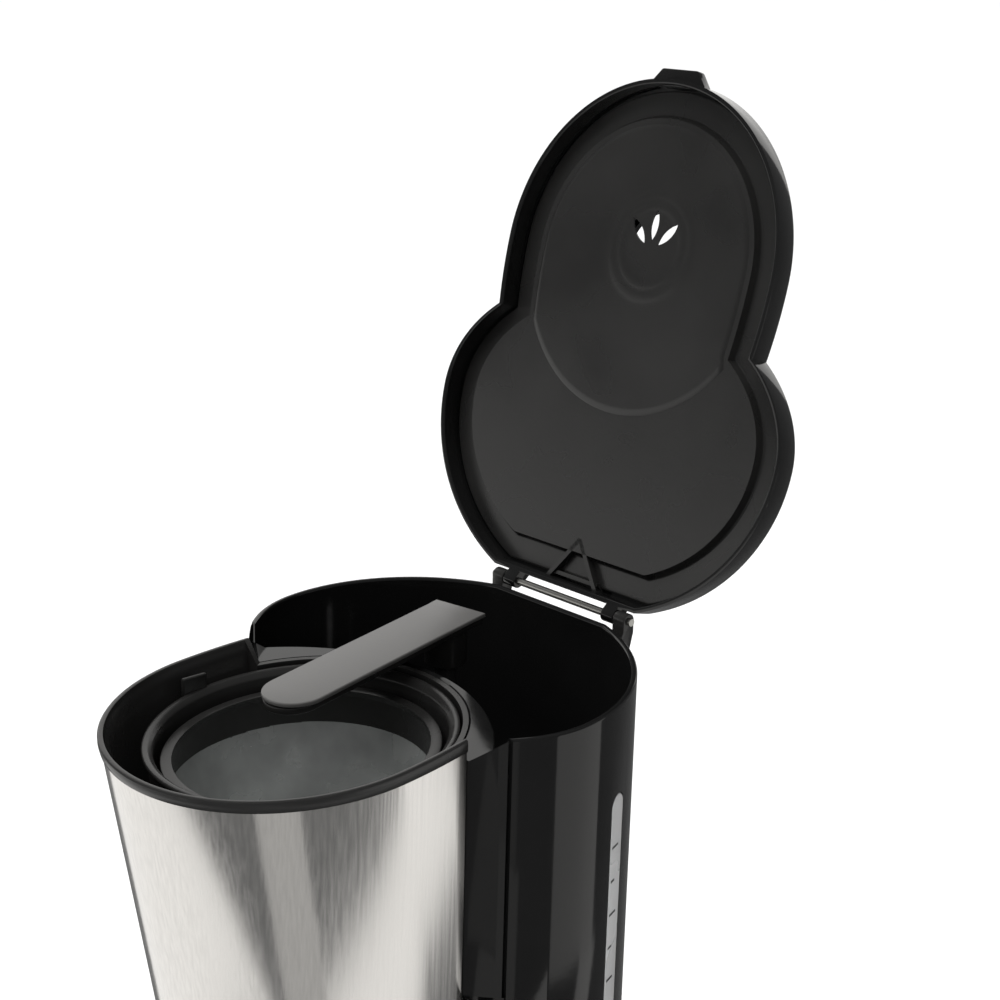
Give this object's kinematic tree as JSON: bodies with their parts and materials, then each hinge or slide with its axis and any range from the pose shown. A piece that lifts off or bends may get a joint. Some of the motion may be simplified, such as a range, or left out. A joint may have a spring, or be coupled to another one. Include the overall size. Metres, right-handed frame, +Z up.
{
  "type": "drip coffee maker",
  "caption": "Drip coffee maker with a figure-eight top, hinged lid open, rear water tank, steel-fronted filter bay, swivel water arm, glass carafe on a warming plate.",
  "frame": {"origin": "on the table under the middle of the whole object's bounding box, lid open", "axes": "+Z up, -Y is the front where the carafe is taken out, +X is the machine's right side with the water window"},
  "size_m": [0.1806, 0.2954, 0.5233],
  "materials": {
    "gloss_black": "moulded gloss black",
    "satin_black": "satin black moulding",
    "black_resin": "matte black",
    "brushed_steel": "vertically brushed",
    "smoked_mesh": "smoked translucent",
    "clear_plastic": "clear, lightly frosted",
    "glass": "clear glass",
    "plate_coat": "dark non-stick coat",
    "aluminium": "as drawn",
    "rubber": "matte",
    "silicone": "translucent milky",
    "zinc": "zinc plated",
    "wire": "woven heat-proof sleeve",
    "red_lens": "clear red",
    "nylon": "natural nylon"
  },
  "bodies": {
    "machine": {"base_cover": "black_resin", "base_screw_front_left": "zinc", "base_screw_front_right": "zinc", "base_screw_rear_left": "zinc", "base_screw_rear_right": "zinc", "base_shell": "gloss_black", "clamp_screw": "zinc", "cord_gland": "rubber", "filter_housing": "satin_black", "foot_front_left": "rubber", "foot_front_right": "rubber", "foot_rear_left": "rubber", "foot_rear_right": "rubber", "heater_clamp": "zinc", "heating_element": "zinc", "hinge_bracket": "satin_black", "hinge_pin": "zinc", "hose_clamp_inlet": "zinc", "hose_clamp_outlet": "zinc", "indicator_lens": "red_lens", "inlet_hose": "silicone", "intake_strainer": "nylon", "intake_valve": "nylon", "outlet_hose": "silicone", "plate_seal": "rubber", "riser_grommet": "silicone", "riser_tube": "black_resin", "steel_wrap": "brushed_steel", "switch_body": "black_resin", "tank_column": "gloss_black", "terminal_block": "nylon", "thermal_fuse": "nylon", "thermostat": "black_resin", "warming_plate": "plate_coat", "water_heater_tube": "aluminium", "water_window": "clear_plastic", "wire_heater_feed": "wire", "wire_heater_return": "wire", "wire_switch_feed": "wire", "bay_wall": "gloss_black", "tank_floor": "black_resin"},
    "lid": {"lid_cover": "gloss_black", "lid_liner": "satin_black"},
    "water_arm_body": {"water_arm": "gloss_black", "arm_channel": "satin_black"},
    "basket": {"filter_basket": "satin_black", "permanent_filter": "smoked_mesh", "valve_spring": "zinc"},
    "carafe": {"carafe_glass": "glass", "carafe_band": "satin_black", "carafe_handle": "satin_black", "handle_screw": "zinc"},
    "carafe_lid_body": {"carafe_lid": "satin_black"},
    "drip_valve": {"valve_plunger": "black_resin", "valve_seal": "silicone"},
    "rocker": {"switch_rocker": "satin_black"}
  },
  "joints": [
    {"name": "lid_hinge", "type": "hinge", "parent": "machine", "child": "lid", "pos_m": [0, 0.08649, 0.3191], "axis": [1, 0, 0], "range_deg": [0, 109]},
    {"name": "water_arm_swivel", "type": "hinge", "parent": "machine", "child": "water_arm_body", "pos_m": [-0.0205, 0.04356, 0.312], "axis": [0, 0, 1], "range_deg": [0, 60]},
    {"name": "basket_lift", "type": "slide", "parent": "machine", "child": "basket", "axis": [0, 0, 1], "range_m": [0, 0.005]},
    {"name": "carafe_pull", "type": "slide", "parent": "machine", "child": "carafe", "axis": [0, -1, 0], "range_m": [0, 0.16]},
    {"name": "carafe_lid_twist", "type": "hinge", "parent": "carafe", "child": "carafe_lid_body", "pos_m": [0, -0.04344, 0.165], "axis": [0, 0, 1], "range_deg": [0, 40]},
    {"name": "drip_valve_lift", "type": "slide", "parent": "basket", "child": "drip_valve", "axis": [0, 0, 1], "range_m": [0, 0.003], "stiffness_N_per_m": 60, "springref_m": -0.004, "deforming": ["valve_spring"]},
    {"name": "switch_rock", "type": "hinge", "parent": "machine", "child": "rocker", "pos_m": [0, -0.11694, 0.02], "axis": [1, 0, 0], "range_deg": [0, 16]}
  ]
}
